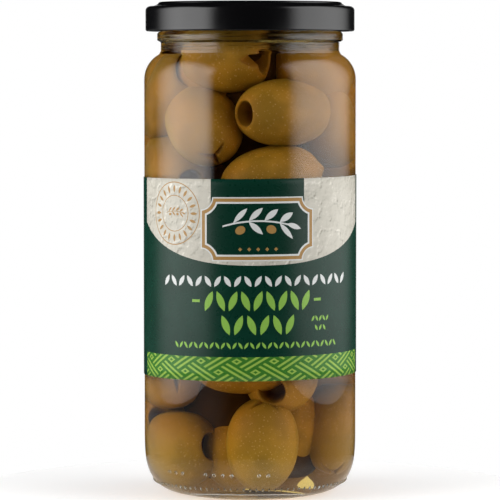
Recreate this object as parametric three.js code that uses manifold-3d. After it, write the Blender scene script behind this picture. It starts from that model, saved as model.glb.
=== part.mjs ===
// A jar of pitted olives: a clear glass jar with a round shoulder and heel, a black twist-off lid,
// a paper label wrapped right round it, and the heap of olives inside.
// Millimetres, +Z up, the origin under the jar's centre, the front of the label towards -Y.

import * as THREE from "three";
import { mergeVertices } from "three/addons/utils/BufferGeometryUtils.js";
import Module from "manifold-3d";

const wasm = await Module();
wasm.setup();

const DEG = Math.PI / 180;
const SIDES = 48;

// Glass, outside
const BODY_R = 35;
const HEEL_HEIGHT = 22.5;
const HEEL_POWER = 3.6;
const HEEL_CENTRE_R = 13.7;
const BEARING_OUTER_R = 21.4;
const BEARING_INNER_R = 18.6;
const PUSH_UP = 2.6;
const SHOULDER_Z = 136.9;
const SHOULDER_R = 9.6;
const NECK_R = 29.5;
const NECK_LOW_Z = 146.3;
const NECK_TOP_Z = 149;
const BEAD_R = 30.7;
const BEAD_TOP_Z = 152.5;
const FINISH_R = 30.1;
const RIM_Z = 161.6;
const RIM_ROUND = 0.8;

// Glass, inside
const BORE_R = 32.6;
const FLOOR_Z = 4;
const FLOOR_CROWN = 1.6;
const INNER_HEEL_R = 7.5;
const INNER_SHOULDER_R = 8;
const MOUTH_R = 27;

// Thread lugs on the glass, which the lid's own lugs turn under
const LUGS = 6;
const LUG_ARC = 46 * DEG;
const LUG_STANDS = 1.5;
const LUG_HEIGHT = 1.9;
const LUG_LOW_Z = 152.4;
const LUG_RISE = 4.2;
const LUG_STEPS = 6;
const LUG_START = -22 * DEG;

// Lid
const LID_R = 34.5;
const LID_LOW_Z = 152.7;
const LID_TOP_Z = 162.4;
const LID_WALL = 0.55;
const PANEL_R = 30.4;
const PANEL_ROUND = 0.8;
const STEP_Z = 161;
const STEP_R = 33;
const CURL_R = 0.65;

// Label
const LABEL_LOW_Z = 40.1;
const LABEL_HEIGHT = 65.1;
const LABEL_GAP = 0.05;
const LABEL_THICK = 0.15;
const LABEL_CENTRE = 4.3 * DEG;
const LABEL_CLIMB = 1.5;
const SEAM = 135 * DEG;
const SEAM_LAP = 7.5 * DEG;
const LABEL_STEPS = 49;

// Olives
const OLIVE_GAP = 0.4;
const OLIVE_SIDES = 12;
const OLIVE_RINGS = 8;
const OLIVE_POWER = 2.15;
const PIT_HOLE_R = 4.1;
const PIT_HOLE_DEEP = 5;
const CORE_R = 23;
const CORE_LOW_Z = 8;
const CORE_TOP_Z = 146;
const CORE_ROUND = 5;

// The olives that show at the front. azimuth is 0 at the front and grows to the right, lean turns the
// pit hole's end from straight up to the right, tip turns it out towards the glass, and back is how far
// the olive stays from the glass. long and wide are half sizes.
const FRONT_OLIVES = [
  { azimuth: -42, z: 122.2, lean: -38, tip: -18, long: 14.6, wide: 11.2, back: 0.5 },
  { azimuth: 27.5, z: 126.2, lean: -91, tip: 7, long: 15.2, wide: 10.9, back: 0 },
  { azimuth: -25, z: 143, lean: 93, tip: 0, long: 13.8, wide: 10.4, back: 0 },
  { azimuth: 17.5, z: 104.2, lean: -104, tip: 0, long: 15.4, wide: 11.2, back: 0 },
  { azimuth: 72, z: 138.2, lean: 88, tip: 0, long: 14.5, wide: 10.6, back: 1 },
  { azimuth: 80, z: 121, lean: 142, tip: 0, long: 14.5, wide: 10.6, back: 0 },
  { azimuth: -80, z: 129.2, lean: 46, tip: -12, long: 14.2, wide: 10.2, back: 0 },
  { azimuth: -74, z: 107.5, lean: 108, tip: 0, long: 14, wide: 10.6, back: 0 },
  { azimuth: -84, z: 38.5, lean: -90, tip: -6, long: 14, wide: 10.3, back: 0 },
  { azimuth: -7.5, z: 46.4, lean: 92, tip: 0, long: 16, wide: 11.4, back: 0 },
  { azimuth: 29, z: 38.9, lean: -108, tip: 48, long: 13, wide: 10.2, back: 1.5 },
  { azimuth: 10, z: 19.2, lean: 180, tip: -14, long: 14.8, wide: 10.7, back: 0 },
  { azimuth: -68, z: 16.8, lean: 85, tip: -22, long: 12.8, wide: 11.3, back: 0 },
  { azimuth: 88, z: 23, lean: 10, tip: 0, long: 14.5, wide: 9.9, back: 0 },
];

// The olives round the back lie in rows with an even pitch and a little seeded disorder.
const BACK_ROW_Z = [18.5, 40, 106, 126, 141];
const BACK_FIRST = 112;
const BACK_LAST = 248;
const BACK_PER_ROW = 3;
const BACK_SEED = 41;
const BACK_LONG = 14.2;
const BACK_WIDE = 10.7;

// Linear congruential numbers from 0 to 1
function seededRandom(seed) {
  let state = seed;
  return () => {
    state = (1664525 * state + 1013904223) % 4294967296;
    return state / 4294967296;
  };
}

// Points of an arc in the profile plane, as Vector2 of radius and height
function arc(centreR, centreZ, radius, fromDeg, toDeg, steps) {
  return Array.from({ length: steps + 1 }, (_, i) => {
    const angle = (fromDeg + ((toDeg - fromDeg) * i) / steps) * DEG;
    return new THREE.Vector2(centreR + radius * Math.cos(angle), centreZ + radius * Math.sin(angle));
  });
}

// The outside of the heel: a rounded square curve from the bearing ring up to the body
function heelRadius(z) {
  const fall = 1 - z / HEEL_HEIGHT;
  return HEEL_CENTRE_R + (BODY_R - HEEL_CENTRE_R) * (1 - fall ** HEEL_POWER) ** (1 / HEEL_POWER);
}

// The glass's inner radius at a height, from the floor to the mouth
function boreRadius(z) {
  if (z < FLOOR_Z) {
    return 0;
  }
  if (z < FLOOR_Z + INNER_HEEL_R) {
    const drop = FLOOR_Z + INNER_HEEL_R - z;
    return BORE_R - INNER_HEEL_R + Math.sqrt(Math.max(INNER_HEEL_R ** 2 - drop ** 2, 0));
  }
  if (z > SHOULDER_Z) {
    const rise = Math.min(z - SHOULDER_Z, INNER_SHOULDER_R);
    return Math.max(BORE_R - INNER_SHOULDER_R + Math.sqrt(INNER_SHOULDER_R ** 2 - rise ** 2), MOUTH_R);
  }
  return BORE_R;
}

// A profile of Vector2(radius, height) turned round the Z axis
function turned(profile, sides = SIDES) {
  const geometry = new THREE.LatheGeometry(profile, sides);
  geometry.rotateX(Math.PI / 2);
  return geometry;
}

// A three.js geometry as a manifold solid, whichever way its faces were wound
function toSolid(geometry) {
  const bare = geometry.clone();
  bare.deleteAttribute("normal");
  bare.deleteAttribute("uv");
  const merged = mergeVertices(bare, 1e-4);
  const vertProperties = Float32Array.from(merged.attributes.position.array);
  const corners = merged.index.array;
  const faces = [];
  for (let i = 0; i < corners.length; i += 3) {
    const [a, b, c] = corners.slice(i, i + 3);
    if (a !== b && b !== c && c !== a) {
      faces.push([a, b, c]);
    }
  }
  const solid = (wound) =>
    new wasm.Manifold(new wasm.Mesh({ numProp: 3, vertProperties, triVerts: Uint32Array.from(wound.flat()) }));
  const asDrawn = solid(faces);
  return asDrawn.volume() > 0 ? asDrawn : solid(faces.map(([a, b, c]) => [b, a, c]));
}

// The largest closed shell alone, which fills the pockets that fused pieces shut in
function filled(solid) {
  return solid.decompose().reduce((kept, shell) => (shell.volume() > kept.volume() ? shell : kept));
}

function toGeometry(solid) {
  const mesh = solid.getMesh();
  const geometry = new THREE.BufferGeometry();
  geometry.setAttribute("position", new THREE.BufferAttribute(Float32Array.from(mesh.vertProperties), 3));
  geometry.setIndex(new THREE.BufferAttribute(Uint32Array.from(mesh.triVerts), 1));
  geometry.computeVertexNormals();
  return geometry;
}

function addPiece(group, name, solid, color, roughness, metalness, extra = {}) {
  const material = new THREE.MeshStandardMaterial({ color, roughness, metalness, ...extra });
  const mesh = new THREE.Mesh(toGeometry(solid), material);
  mesh.name = name;
  group.add(mesh);
}

// A closed bar through a row of four-cornered sections
function barThrough(sections) {
  const position = sections.flatMap((corners) => corners.flatMap((p) => p.toArray()));
  const index = [];
  const quad = (a, b, c, d) => index.push(a, b, c, a, c, d);
  for (let i = 0; i + 1 < sections.length; i += 1) {
    for (let k = 0; k < 4; k += 1) {
      const next = (k + 1) % 4;
      quad(4 * i + k, 4 * i + next, 4 * i + 4 + next, 4 * i + 4 + k);
    }
  }
  const end = 4 * (sections.length - 1);
  quad(3, 2, 1, 0);
  quad(end, end + 1, end + 2, end + 3);
  const geometry = new THREE.BufferGeometry();
  geometry.setAttribute("position", new THREE.Float32BufferAttribute(position, 3));
  geometry.setIndex(index);
  return geometry;
}

// A point by its azimuth (0 at the front, growing to the right), radius and height
function around(azimuth, radius, z) {
  return new THREE.Vector3(radius * Math.sin(azimuth), -radius * Math.cos(azimuth), z);
}

function glassProfile() {
  const heelSteps = 12;
  const heel = Array.from({ length: heelSteps }, (_, i) => {
    const z = HEEL_HEIGHT * (1 - Math.cos(((i + 0.6) / heelSteps) * 90 * DEG));
    return new THREE.Vector2(heelRadius(z), z);
  }).filter((p) => p.x > BEARING_OUTER_R + 0.8);
  const neckAngle = Math.acos((NECK_R + 0.5 - BODY_R + SHOULDER_R) / SHOULDER_R) / DEG;
  const mouthAngle = Math.acos((MOUTH_R - BORE_R + INNER_SHOULDER_R) / INNER_SHOULDER_R) / DEG;
  return [
    new THREE.Vector2(0, PUSH_UP),
    new THREE.Vector2(BEARING_INNER_R * 0.45, PUSH_UP * 0.85),
    new THREE.Vector2(BEARING_INNER_R * 0.8, PUSH_UP * 0.4),
    new THREE.Vector2(BEARING_INNER_R, 0),
    new THREE.Vector2(BEARING_OUTER_R, 0),
    ...heel,
    new THREE.Vector2(BODY_R, HEEL_HEIGHT),
    ...arc(BODY_R - SHOULDER_R, SHOULDER_Z, SHOULDER_R, 0, neckAngle, 7),
    new THREE.Vector2(NECK_R, NECK_LOW_Z),
    new THREE.Vector2(NECK_R, NECK_TOP_Z),
    new THREE.Vector2(BEAD_R, NECK_TOP_Z + 0.7),
    new THREE.Vector2(BEAD_R, BEAD_TOP_Z - 0.6),
    new THREE.Vector2(FINISH_R, BEAD_TOP_Z),
    new THREE.Vector2(FINISH_R, RIM_Z - RIM_ROUND),
    new THREE.Vector2(FINISH_R - RIM_ROUND, RIM_Z),
    new THREE.Vector2(MOUTH_R + RIM_ROUND, RIM_Z),
    new THREE.Vector2(MOUTH_R, RIM_Z - RIM_ROUND),
    ...arc(BORE_R - INNER_SHOULDER_R, SHOULDER_Z, INNER_SHOULDER_R, mouthAngle, 0, 6),
    ...arc(BORE_R - INNER_HEEL_R, FLOOR_Z + INNER_HEEL_R, INNER_HEEL_R, 0, -90, 6),
    new THREE.Vector2(0, FLOOR_Z + FLOOR_CROWN),
  ];
}

// One thread lug: a bar on the finish that climbs to the right, thin at its two ends
function threadLug(start) {
  const sections = Array.from({ length: LUG_STEPS + 1 }, (_, i) => {
    const along = i / LUG_STEPS;
    const full = Math.sin(Math.PI * (0.08 + 0.84 * along)) ** 0.5;
    const azimuth = start + LUG_ARC * along;
    const low = LUG_LOW_Z - (LUG_HEIGHT * full) / 2 + LUG_RISE * along;
    const high = low + LUG_HEIGHT * full;
    const outer = FINISH_R + LUG_STANDS * full;
    const buried = FINISH_R - 1;
    return [
      around(azimuth, buried, low),
      around(azimuth, outer, low + 0.3),
      around(azimuth, outer, high - 0.3),
      around(azimuth, buried, high),
    ];
  });
  return toSolid(barThrough(sections));
}

function makeJar() {
  let jar = toSolid(turned(glassProfile()));
  for (let i = 0; i < LUGS; i += 1) {
    jar = jar.add(threadLug(LUG_START + (i * 2 * Math.PI) / LUGS));
  }
  return jar;
}

// The pressed steel lid: a flat panel, a step down, a round shoulder, a skirt and its rolled-in curl
function makeLid() {
  const shoulder = LID_R - STEP_R;
  const panelUnder = LID_TOP_Z - LID_WALL;
  const profile = [
    new THREE.Vector2(0, LID_TOP_Z),
    ...arc(PANEL_R - PANEL_ROUND, LID_TOP_Z - PANEL_ROUND, PANEL_ROUND, 90, 25, 3),
    new THREE.Vector2(PANEL_R + 0.9, STEP_Z + 0.25),
    ...arc(STEP_R, STEP_Z - shoulder, shoulder, 90, 0, 4),
    ...arc(LID_R - CURL_R, LID_LOW_Z + CURL_R, CURL_R, 0, -180, 5),
    new THREE.Vector2(LID_R - LID_WALL, LID_LOW_Z + 3 * CURL_R),
    ...arc(STEP_R, STEP_Z - shoulder, shoulder - LID_WALL, 0, 90, 3),
    new THREE.Vector2(PANEL_R + 0.7, STEP_Z - LID_WALL + 0.2),
    new THREE.Vector2(PANEL_R - 0.1, panelUnder),
    new THREE.Vector2(0, panelUnder),
  ];
  return toSolid(turned(profile));
}

// The paper label: one strip that winds once round the glass, climbs a little as it goes, and laps
// over its own start at the back
function makeLabel() {
  const turn = 2 * Math.PI + SEAM_LAP;
  const start = SEAM - 2 * Math.PI;
  const sections = Array.from({ length: LABEL_STEPS + 1 }, (_, i) => {
    const angle = Math.min((i * 2 * Math.PI) / SIDES, turn);
    const onTop = THREE.MathUtils.smoothstep(angle, turn - SEAM_LAP - 7.5 * DEG, turn - SEAM_LAP);
    const inner = BODY_R + LABEL_GAP + onTop * (LABEL_THICK + LABEL_GAP);
    const azimuth = start + angle;
    const low = LABEL_LOW_Z + (LABEL_CLIMB * (azimuth - LABEL_CENTRE)) / (2 * Math.PI);
    return [
      around(azimuth, inner, low),
      around(azimuth, inner + LABEL_THICK, low),
      around(azimuth, inner + LABEL_THICK, low + LABEL_HEIGHT),
      around(azimuth, inner, low + LABEL_HEIGHT),
    ];
  });
  return toSolid(barThrough(sections));
}

// An olive along Z: a full oval with the round hole where its stone was pushed out at the top end
function oliveGeometry(long, wide) {
  const lip = Math.sqrt(1 - (PIT_HOLE_R / wide) ** 2) * long;
  const profile = [new THREE.Vector2(0, -long)];
  for (let i = 1; i < OLIVE_RINGS; i += 1) {
    const t = (i / OLIVE_RINGS) * Math.PI;
    const z = -long * Math.cos(t);
    const r = wide * (1 - Math.abs(z / long) ** OLIVE_POWER) ** (1 / OLIVE_POWER);
    if (z < lip - 1) {
      profile.push(new THREE.Vector2(r, z));
    }
  }
  profile.push(new THREE.Vector2(PIT_HOLE_R, lip));
  profile.push(new THREE.Vector2(PIT_HOLE_R * 0.7, lip - PIT_HOLE_DEEP));
  profile.push(new THREE.Vector2(0, lip - PIT_HOLE_DEEP));
  return turned(profile, OLIVE_SIDES);
}

// The way the pit hole's end points
function oliveDirection(olive) {
  const azimuth = olive.azimuth * DEG;
  const across = new THREE.Vector3(Math.cos(azimuth), Math.sin(azimuth), 0);
  const outward = around(azimuth, 1, 0);
  const flat = Math.cos(olive.tip * DEG);
  return new THREE.Vector3(0, 0, flat * Math.cos(olive.lean * DEG))
    .addScaledVector(across, flat * Math.sin(olive.lean * DEG))
    .addScaledVector(outward, Math.sin(olive.tip * DEG));
}

// Stands the olive on the floor if it is low, and slides it out until it meets the glass
function settle(olive, direction) {
  const halfHeight = Math.hypot(olive.long * direction.z, olive.wide * Math.sqrt(1 - direction.z ** 2));
  const z = Math.max(olive.z, FLOOR_Z + OLIVE_GAP + halfHeight);
  const turn = new THREE.Quaternion().setFromUnitVectors(new THREE.Vector3(0, 0, 1), direction);
  const skin = [];
  const steps = 24;
  for (let i = 1; i < steps; i += 1) {
    for (let k = 0; k < steps; k += 1) {
      const polar = (i / steps) * Math.PI;
      const round = (k / steps) * 2 * Math.PI;
      const r = olive.wide * Math.sin(polar);
      const point = new THREE.Vector3(r * Math.cos(round), r * Math.sin(round), olive.long * Math.cos(polar));
      skin.push(point.applyQuaternion(turn));
    }
  }
  const clear = (out) => {
    const centre = around(olive.azimuth * DEG, out, z);
    return skin.every((p) => {
      const height = centre.z + p.z;
      return Math.hypot(centre.x + p.x, centre.y + p.y) < boreRadius(height) - OLIVE_GAP;
    });
  };
  let near = 0;
  let far = BORE_R;
  for (let i = 0; i < 20; i += 1) {
    const middle = (near + far) / 2;
    if (clear(middle)) {
      near = middle;
    } else {
      far = middle;
    }
  }
  return { centre: around(olive.azimuth * DEG, near - olive.back, z), turn };
}

function backOlives() {
  const random = seededRandom(BACK_SEED);
  const olives = [];
  for (const rowZ of BACK_ROW_Z) {
    for (let i = 0; i < BACK_PER_ROW; i += 1) {
      const even = BACK_FIRST + ((BACK_LAST - BACK_FIRST) * i) / (BACK_PER_ROW - 1);
      olives.push({
        azimuth: even + 8 * (random() - 0.5),
        z: rowZ + 3 * (random() - 0.5),
        lean: 180 * random(),
        tip: 20 * (random() - 0.5),
        long: BACK_LONG + 1.2 * (random() - 0.5),
        wide: BACK_WIDE + 0.8 * (random() - 0.5),
        back: 0,
      });
    }
  }
  return olives;
}

function makeOlives() {
  const core = [
    new THREE.Vector2(0, CORE_LOW_Z),
    ...arc(CORE_R - CORE_ROUND, CORE_LOW_Z + CORE_ROUND, CORE_ROUND, -90, 0, 2),
    ...arc(CORE_R - CORE_ROUND, CORE_TOP_Z - CORE_ROUND, CORE_ROUND, 0, 90, 2),
    new THREE.Vector2(0, CORE_TOP_Z),
  ];
  let heap = toSolid(turned(core, OLIVE_SIDES * 2));
  for (const olive of [...FRONT_OLIVES, ...backOlives()]) {
    const { centre, turn } = settle(olive, oliveDirection(olive));
    const geometry = oliveGeometry(olive.long, olive.wide);
    geometry.applyQuaternion(turn);
    geometry.translate(centre.x, centre.y, centre.z);
    heap = heap.add(toSolid(geometry));
  }
  return filled(heap);
}

const group = new THREE.Group();
addPiece(group, "jar", makeJar(), 0xdfe8e6, 0.05, 0, { transparent: true, opacity: 0.35 });
addPiece(group, "lid", makeLid(), 0x0c0c0d, 0.35, 0.2);
addPiece(group, "label", makeLabel(), 0x173a2d, 0.55, 0);
addPiece(group, "olives", makeOlives(), 0x8a6a2c, 0.6, 0);

export default group;
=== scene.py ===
# %% [markdown]
# A jar of olives
#
# The real object is a clear glass jar with a round shoulder and a round heel. A black twist-off lid
# shuts it, a paper label runs right round it, and pitted green olives lie in brine inside. This lesson
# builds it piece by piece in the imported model's own frame, so nothing has to be fitted afterwards:
# metres, +Z up, the front of the label towards -Y.

# %% The frame
import math
import random

import bpy
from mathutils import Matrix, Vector


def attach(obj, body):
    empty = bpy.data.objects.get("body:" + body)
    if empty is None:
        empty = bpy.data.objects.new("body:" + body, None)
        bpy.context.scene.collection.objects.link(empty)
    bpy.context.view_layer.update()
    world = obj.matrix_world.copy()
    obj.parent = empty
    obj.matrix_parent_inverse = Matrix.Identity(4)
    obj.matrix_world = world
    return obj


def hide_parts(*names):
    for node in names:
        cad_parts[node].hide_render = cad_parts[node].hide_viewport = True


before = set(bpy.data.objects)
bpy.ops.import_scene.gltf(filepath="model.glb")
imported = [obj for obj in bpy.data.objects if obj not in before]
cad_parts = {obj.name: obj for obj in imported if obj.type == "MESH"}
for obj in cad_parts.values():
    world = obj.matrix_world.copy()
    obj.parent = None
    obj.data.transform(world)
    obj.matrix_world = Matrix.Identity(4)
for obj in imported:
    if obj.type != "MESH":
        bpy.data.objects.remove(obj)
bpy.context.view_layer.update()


# %% [markdown]
# The real sizes
#
# A twist-off cap of 66 mm measures about 69 mm over its skirt, and that sets the scale of the whole jar.
# The sizes are kept in millimetres, as a drawing has them, and turned into metres when a mesh is made.

# %% Sizes in millimetres
MM = 0.001
BODY_R = 35
HEEL_HEIGHT = 22.5
HEEL_POWER = 3.6
HEEL_CENTRE_R = 13.7
BEARING_OUTER_R = 21.4
BEARING_INNER_R = 18.6
BEARING_ROUND = 1.5
PUSH_UP = 2.6
PUSH_UP_CURVE = [(8, 2.3, 8), (14, 1.2, 8)]
SHOULDER_Z = 136.9
SHOULDER_R = 9.6
NECK_R = 29.5
NECK_LOW_Z = 146.3
NECK_TOP_Z = 149
BEAD_R = 30.7
BEAD_TOP_Z = 152.5
FINISH_R = 30.1
RIM_Z = 161.6
RIM_ROUND = 0.8
BORE_R = 32.6
FLOOR_Z = 4
FLOOR_CROWN = 1.6
INNER_HEEL_R = 7.5
INNER_SHOULDER_R = 8
MOUTH_R = 27
LID_R = 34.5
LID_LOW_Z = 152.7
LID_TOP_Z = 162.4
LABEL_LOW_Z = 40.1
LABEL_HEIGHT = 65.1
print("glass", 2 * BODY_R, "mm wide, lid", 2 * LID_R, "mm, whole jar", LID_TOP_Z, "mm tall")

# %% [markdown]
# The camera
#
# The photograph was taken with a long lens from about a metre away, a little below the lid and tilted
# slightly down. The tilt, the distance and the lens were worked out from the jar's outline, so that the
# lens needs no shift and every other view keeps the same perspective.

# %% The camera
CAMERA_DISTANCE = 1108
CAMERA_HEIGHT = 142.4
CAMERA_TILT = 3.2
SENSOR = 36
LENS = 241.2

camera_data = bpy.data.cameras.new("camera")
camera_data.sensor_width = SENSOR
camera_data.lens = LENS
camera = bpy.data.objects.new("camera", camera_data)
camera.location = (0, -CAMERA_DISTANCE * MM, CAMERA_HEIGHT * MM)
camera.rotation_euler = (math.radians(90 - CAMERA_TILT), 0, 0)
bpy.context.scene.collection.objects.link(camera)
bpy.context.scene.camera = camera
print("camera", tuple(round(x, 4) for x in camera.location), "lens", LENS, "mm")

# %% [markdown]
# Writing node arithmetic
#
# Prints, ripples and specks are all formulas over a surface. Wiring each sum by hand takes many lines,
# so a small class wraps a node's output and lets ordinary arithmetic write the Math nodes. The same
# class works in a material, in the world and in a Geometry Nodes tree.


# %% A field is a number that varies over a surface


def worked_by(operation):
    """A method that takes a field, and what it is combined with, into one Math node."""
    return lambda field, *others: field.math(operation, *others)


class Field:
    """A node's output that takes part in ordinary arithmetic."""

    __add__ = __radd__ = worked_by("ADD")
    __mul__ = __rmul__ = worked_by("MULTIPLY")
    __sub__ = worked_by("SUBTRACT")
    __truediv__ = worked_by("DIVIDE")
    __pow__ = worked_by("POWER")
    __abs__ = worked_by("ABSOLUTE")
    __lt__ = worked_by("LESS_THAN")
    __gt__ = worked_by("GREATER_THAN")
    least = worked_by("MINIMUM")
    most = worked_by("MAXIMUM")

    def __init__(self, tree, socket):
        self.tree = tree
        self.socket = socket

    def __rsub__(self, other):
        return self * -1 + other

    def math(self, operation, *others):
        """A Math node with this field as its first input."""
        return node(self.tree, "ShaderNodeMath", dict(enumerate((self, *others))), operation=operation)

    def step(self, low, high):
        """0 below low, 1 above high, and smooth between."""
        ends = {0: self, 1: low, 2: high}
        return node(self.tree, "ShaderNodeMapRange", ends, interpolation_type="SMOOTHSTEP")

    def repeated(self, pitch):
        """The distance from the nearest multiple of pitch."""
        return self - (self / pitch).math("ROUND") * pitch


def fill(made, inputs):
    """Fills a node's inputs by name or number: a field is linked, and a plain value is set."""
    for name, value in inputs.items():
        if isinstance(value, Field):
            value.tree.links.new(value.socket, made.inputs[name])
        else:
            made.inputs[name].default_value = value


def node(tree, kind, inputs=None, output=0, **settings):
    """Adds a node, fills its inputs, and gives one of its outputs as a field."""
    made = tree.nodes.new(kind)
    for name, value in settings.items():
        setattr(made, name, value)
    fill(made, inputs or {})
    return Field(tree, made.outputs[output])


def vector(x, y=0, z=0):
    """Three fields or numbers as one place, the first of them a field."""
    return node(x.tree, "ShaderNodeCombineXYZ", {"X": x, "Y": y, "Z": z})


def noise(place, scale, detail=2):
    """Smooth noise from about 0 to 1 at a place, with scale in features for each unit."""
    return node(place.tree, "ShaderNodeTexNoise", {"Vector": place, "Scale": scale, "Detail": detail})


def object_place(tree, stretch=(1, 1, 1)):
    """The place on the piece in metres, stretched for patterns that run one way."""
    place = node(tree, "ShaderNodeTexCoord", output="Object")
    return node(tree, "ShaderNodeMapping", {"Vector": place, "Scale": stretch})


def axis(place, letter):
    """One coordinate of a place."""
    return node(place.tree, "ShaderNodeSeparateXYZ", {0: place}, letter)


def stored(tree, name, output="Fac"):
    """A value that is stored on the mesh's points."""
    return node(tree, "ShaderNodeAttribute", output=output, attribute_name=name)


def ray(tree, kind):
    """1 for a ray of this kind, such as Camera, Diffuse or Shadow, and 0 for any other."""
    return node(tree, "ShaderNodeLightPath", output=f"Is {kind} Ray")


# %% [markdown]
# Colours
#
# A colour read off a screen is squeezed for the eye. Shaders add up light, so they need the unsqueezed
# numbers. The helpers below take a colour as a screen shows it, from 0 to 255.

# %% Colours and materials


def paint(red, green, blue):
    """A screen colour as the shader's own linear colour, by the formula that screens use."""
    shares = [value / 255 for value in (red, green, blue)]
    return tuple(s / 12.92 if s <= 0.04045 else ((s + 0.055) / 1.055) ** 2.4 for s in shares) + (1,)


def grey(level):
    """A grey in linear light."""
    return (level, level, level, 1)


def layer(under, over, share):
    """One colour laid over another, as far as the share says. Each is a field or a plain colour."""
    # The Mix node's inputs 6 and 7 and its output 2 are the ones for colours.
    return node(share.tree, "ShaderNodeMix", {0: share, 6: under, 7: over}, 2, data_type="RGBA")


def new_material(name, constants):
    """A material with its tree and its main shader, which holds the constants on its own sockets."""
    material = bpy.data.materials.new(name)
    material.use_nodes = True
    shader = material.node_tree.nodes["Principled BSDF"]
    fill(shader, constants)
    return material, material.node_tree, shader


def relief(shader, height, depth_mm):
    """Raises a surface by a height field from 0 to 1, depth_mm at its highest."""
    bump = node(height.tree, "ShaderNodeBump", {"Distance": depth_mm * MM, "Height": height})
    fill(shader, {"Normal": bump})


BLACK = paint(5, 5, 6)
print("black enamel in linear light:", [round(x, 4) for x in BLACK])

# %% [markdown]
# Turned shapes
#
# A jar, its brine and its lid are round, so each is one profile turned about the upright axis. The
# profile is drawn as a potter would draw it, corner by corner, and each corner gets its own rounding.

# %% Profiles
TURN_SIDES = 160
ARC_STEPS = 10
ON_AXIS = 1e-6


def arc(centre_r, centre_z, radius, first, last, steps=ARC_STEPS):
    """Points of (radius, height) along an arc, from one angle in degrees to another."""
    angles = [math.radians(first + (last - first) * i / steps) for i in range(steps + 1)]
    return [(centre_r + radius * math.cos(a), centre_z + radius * math.sin(a)) for a in angles]


def rounded(corners, steps=5):
    """A profile through corners of (radius, height, rounding), an arc in place of each with a rounding."""
    points = []
    for i, (r, z, rounding) in enumerate(corners):
        if not rounding:
            points.append((r, z))
            continue
        here = Vector((r, z))
        back, on = ((Vector(corners[j][:2]) - here).normalized() for j in (i - 1, i + 1))
        half = math.acos(back.dot(on)) / 2
        reach = rounding / math.tan(half)
        centre = here + (back + on).normalized() * rounding / math.sin(half)
        first = here + back * reach - centre
        last = here + on * reach - centre
        for k in range(steps + 1):
            # slerp turns the spoke from first to last, and gives it a length of 1
            points.append(tuple(centre + first.slerp(last, k / steps) * rounding))
    return points


def around(azimuth, radius, z):
    """A point by its azimuth in degrees (0 at the front, growing to the right), radius and height."""
    angle = math.radians(azimuth)
    return Vector((radius * math.sin(angle), -radius * math.cos(angle), z))


def faces_between(rings):
    """Faces between each ring of point numbers and the next. A ring of one repeated number is a pole."""
    faces = []
    for lower, upper in zip(rings, rings[1:]):
        for k in range(len(lower)):
            n = (k + 1) % len(lower)
            face = [lower[k], lower[n], upper[n], upper[k]]
            corners = [v for j, v in enumerate(face) if v != face[j - 1]]
            if len(corners) > 2:
                faces.append(corners)
    return faces


def turned(profile, sides=TURN_SIDES, swell=None, closed=False):
    """Points and faces of a profile turned about the upright axis. swell adds to the radius."""
    points, rings = [], []
    for r, z in profile:
        first = len(points)
        if r < ON_AXIS:
            rings.append([first] * sides)
            points.append(Vector((0, 0, z)))
            continue
        rings.append(list(range(first, first + sides)))
        for k in range(sides):
            azimuth = 360 * k / sides
            points.append(around(azimuth, r + (swell(azimuth, r, z) if swell else 0), z))
    if closed:
        rings.append(rings[0])
    return points, faces_between(rings)


def make_piece(name, points, faces, *materials):
    """A smooth mesh piece whose place is in its mesh. Points are in millimetres."""
    mesh = bpy.data.meshes.new(name)
    mesh.from_pydata([tuple(p * MM) for p in points], [], faces)
    mesh.shade_smooth()
    for material in materials:
        mesh.materials.append(material)
    piece = bpy.data.objects.new(name, mesh)
    bpy.context.scene.collection.objects.link(piece)
    return piece


def report(piece):
    """Prints how large a piece is."""
    triangles = sum(len(face.vertices) - 2 for face in piece.data.polygons)
    size = [round(1000 * x, 1) for x in piece.dimensions]
    print(piece.name, triangles, "triangles", size, "mm")


# %% [markdown]
# The studio
#
# A pack shot stands on white with a tall soft panel at each side. The panels give glass and enamel
# their two long highlights, and the dark gap between them, where the camera stands, keeps the middle of
# the lid black. The world is white where it is seen directly or through the glass. Where a surface
# mirrors it, the world is dark, apart from a narrow strip straight behind the jar and a faint glow of
# the table low at each side.

# %% Floor, world and panels
FLOOR_R = 95
FLOOR_SIDES = 96
FLOOR_COLOUR = grey(0.9)
MIRRORED_RIM = grey(0.3)
MIRRORED_RIM_FROM = 35
AMBIENT = 0.26
TABLE_BOUNCE = 0.38
TABLE_SHINE = 0.2
TABLE_MIRRORED = 0.22
TABLE_GLOWS_DOWN = (0.07, 0.1)
TABLE_GLOWS_ASIDE = (0.3, 0.75)
BACKDROP_HALF_ANGLE = 8
BACKDROP_FADE = (-0.02, 0.005)
PANEL_AWAY = 0.27
PANEL_LOW = 0.007
PANEL_FOOT = (-0.03, 0.05)
PANEL_HEAD = (0.55, 1)
PANELS = {
    # side, radiance, height, and the angles from the camera's direction where it starts, is full,
    # starts to fade and ends
    "panel_left": (-1, 2.85, 0.54, (36, 50, 78, 120)),
    "panel_right": (1, 2.35, 0.68, (38, 60, 78, 138)),
}


def mirrored_ray(tree):
    """1 for a ray that a surface has mirrored, and 0 for one that is seen directly or through the glass."""
    return ray(tree, "Reflection") * ray(tree, "Glossy")


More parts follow.
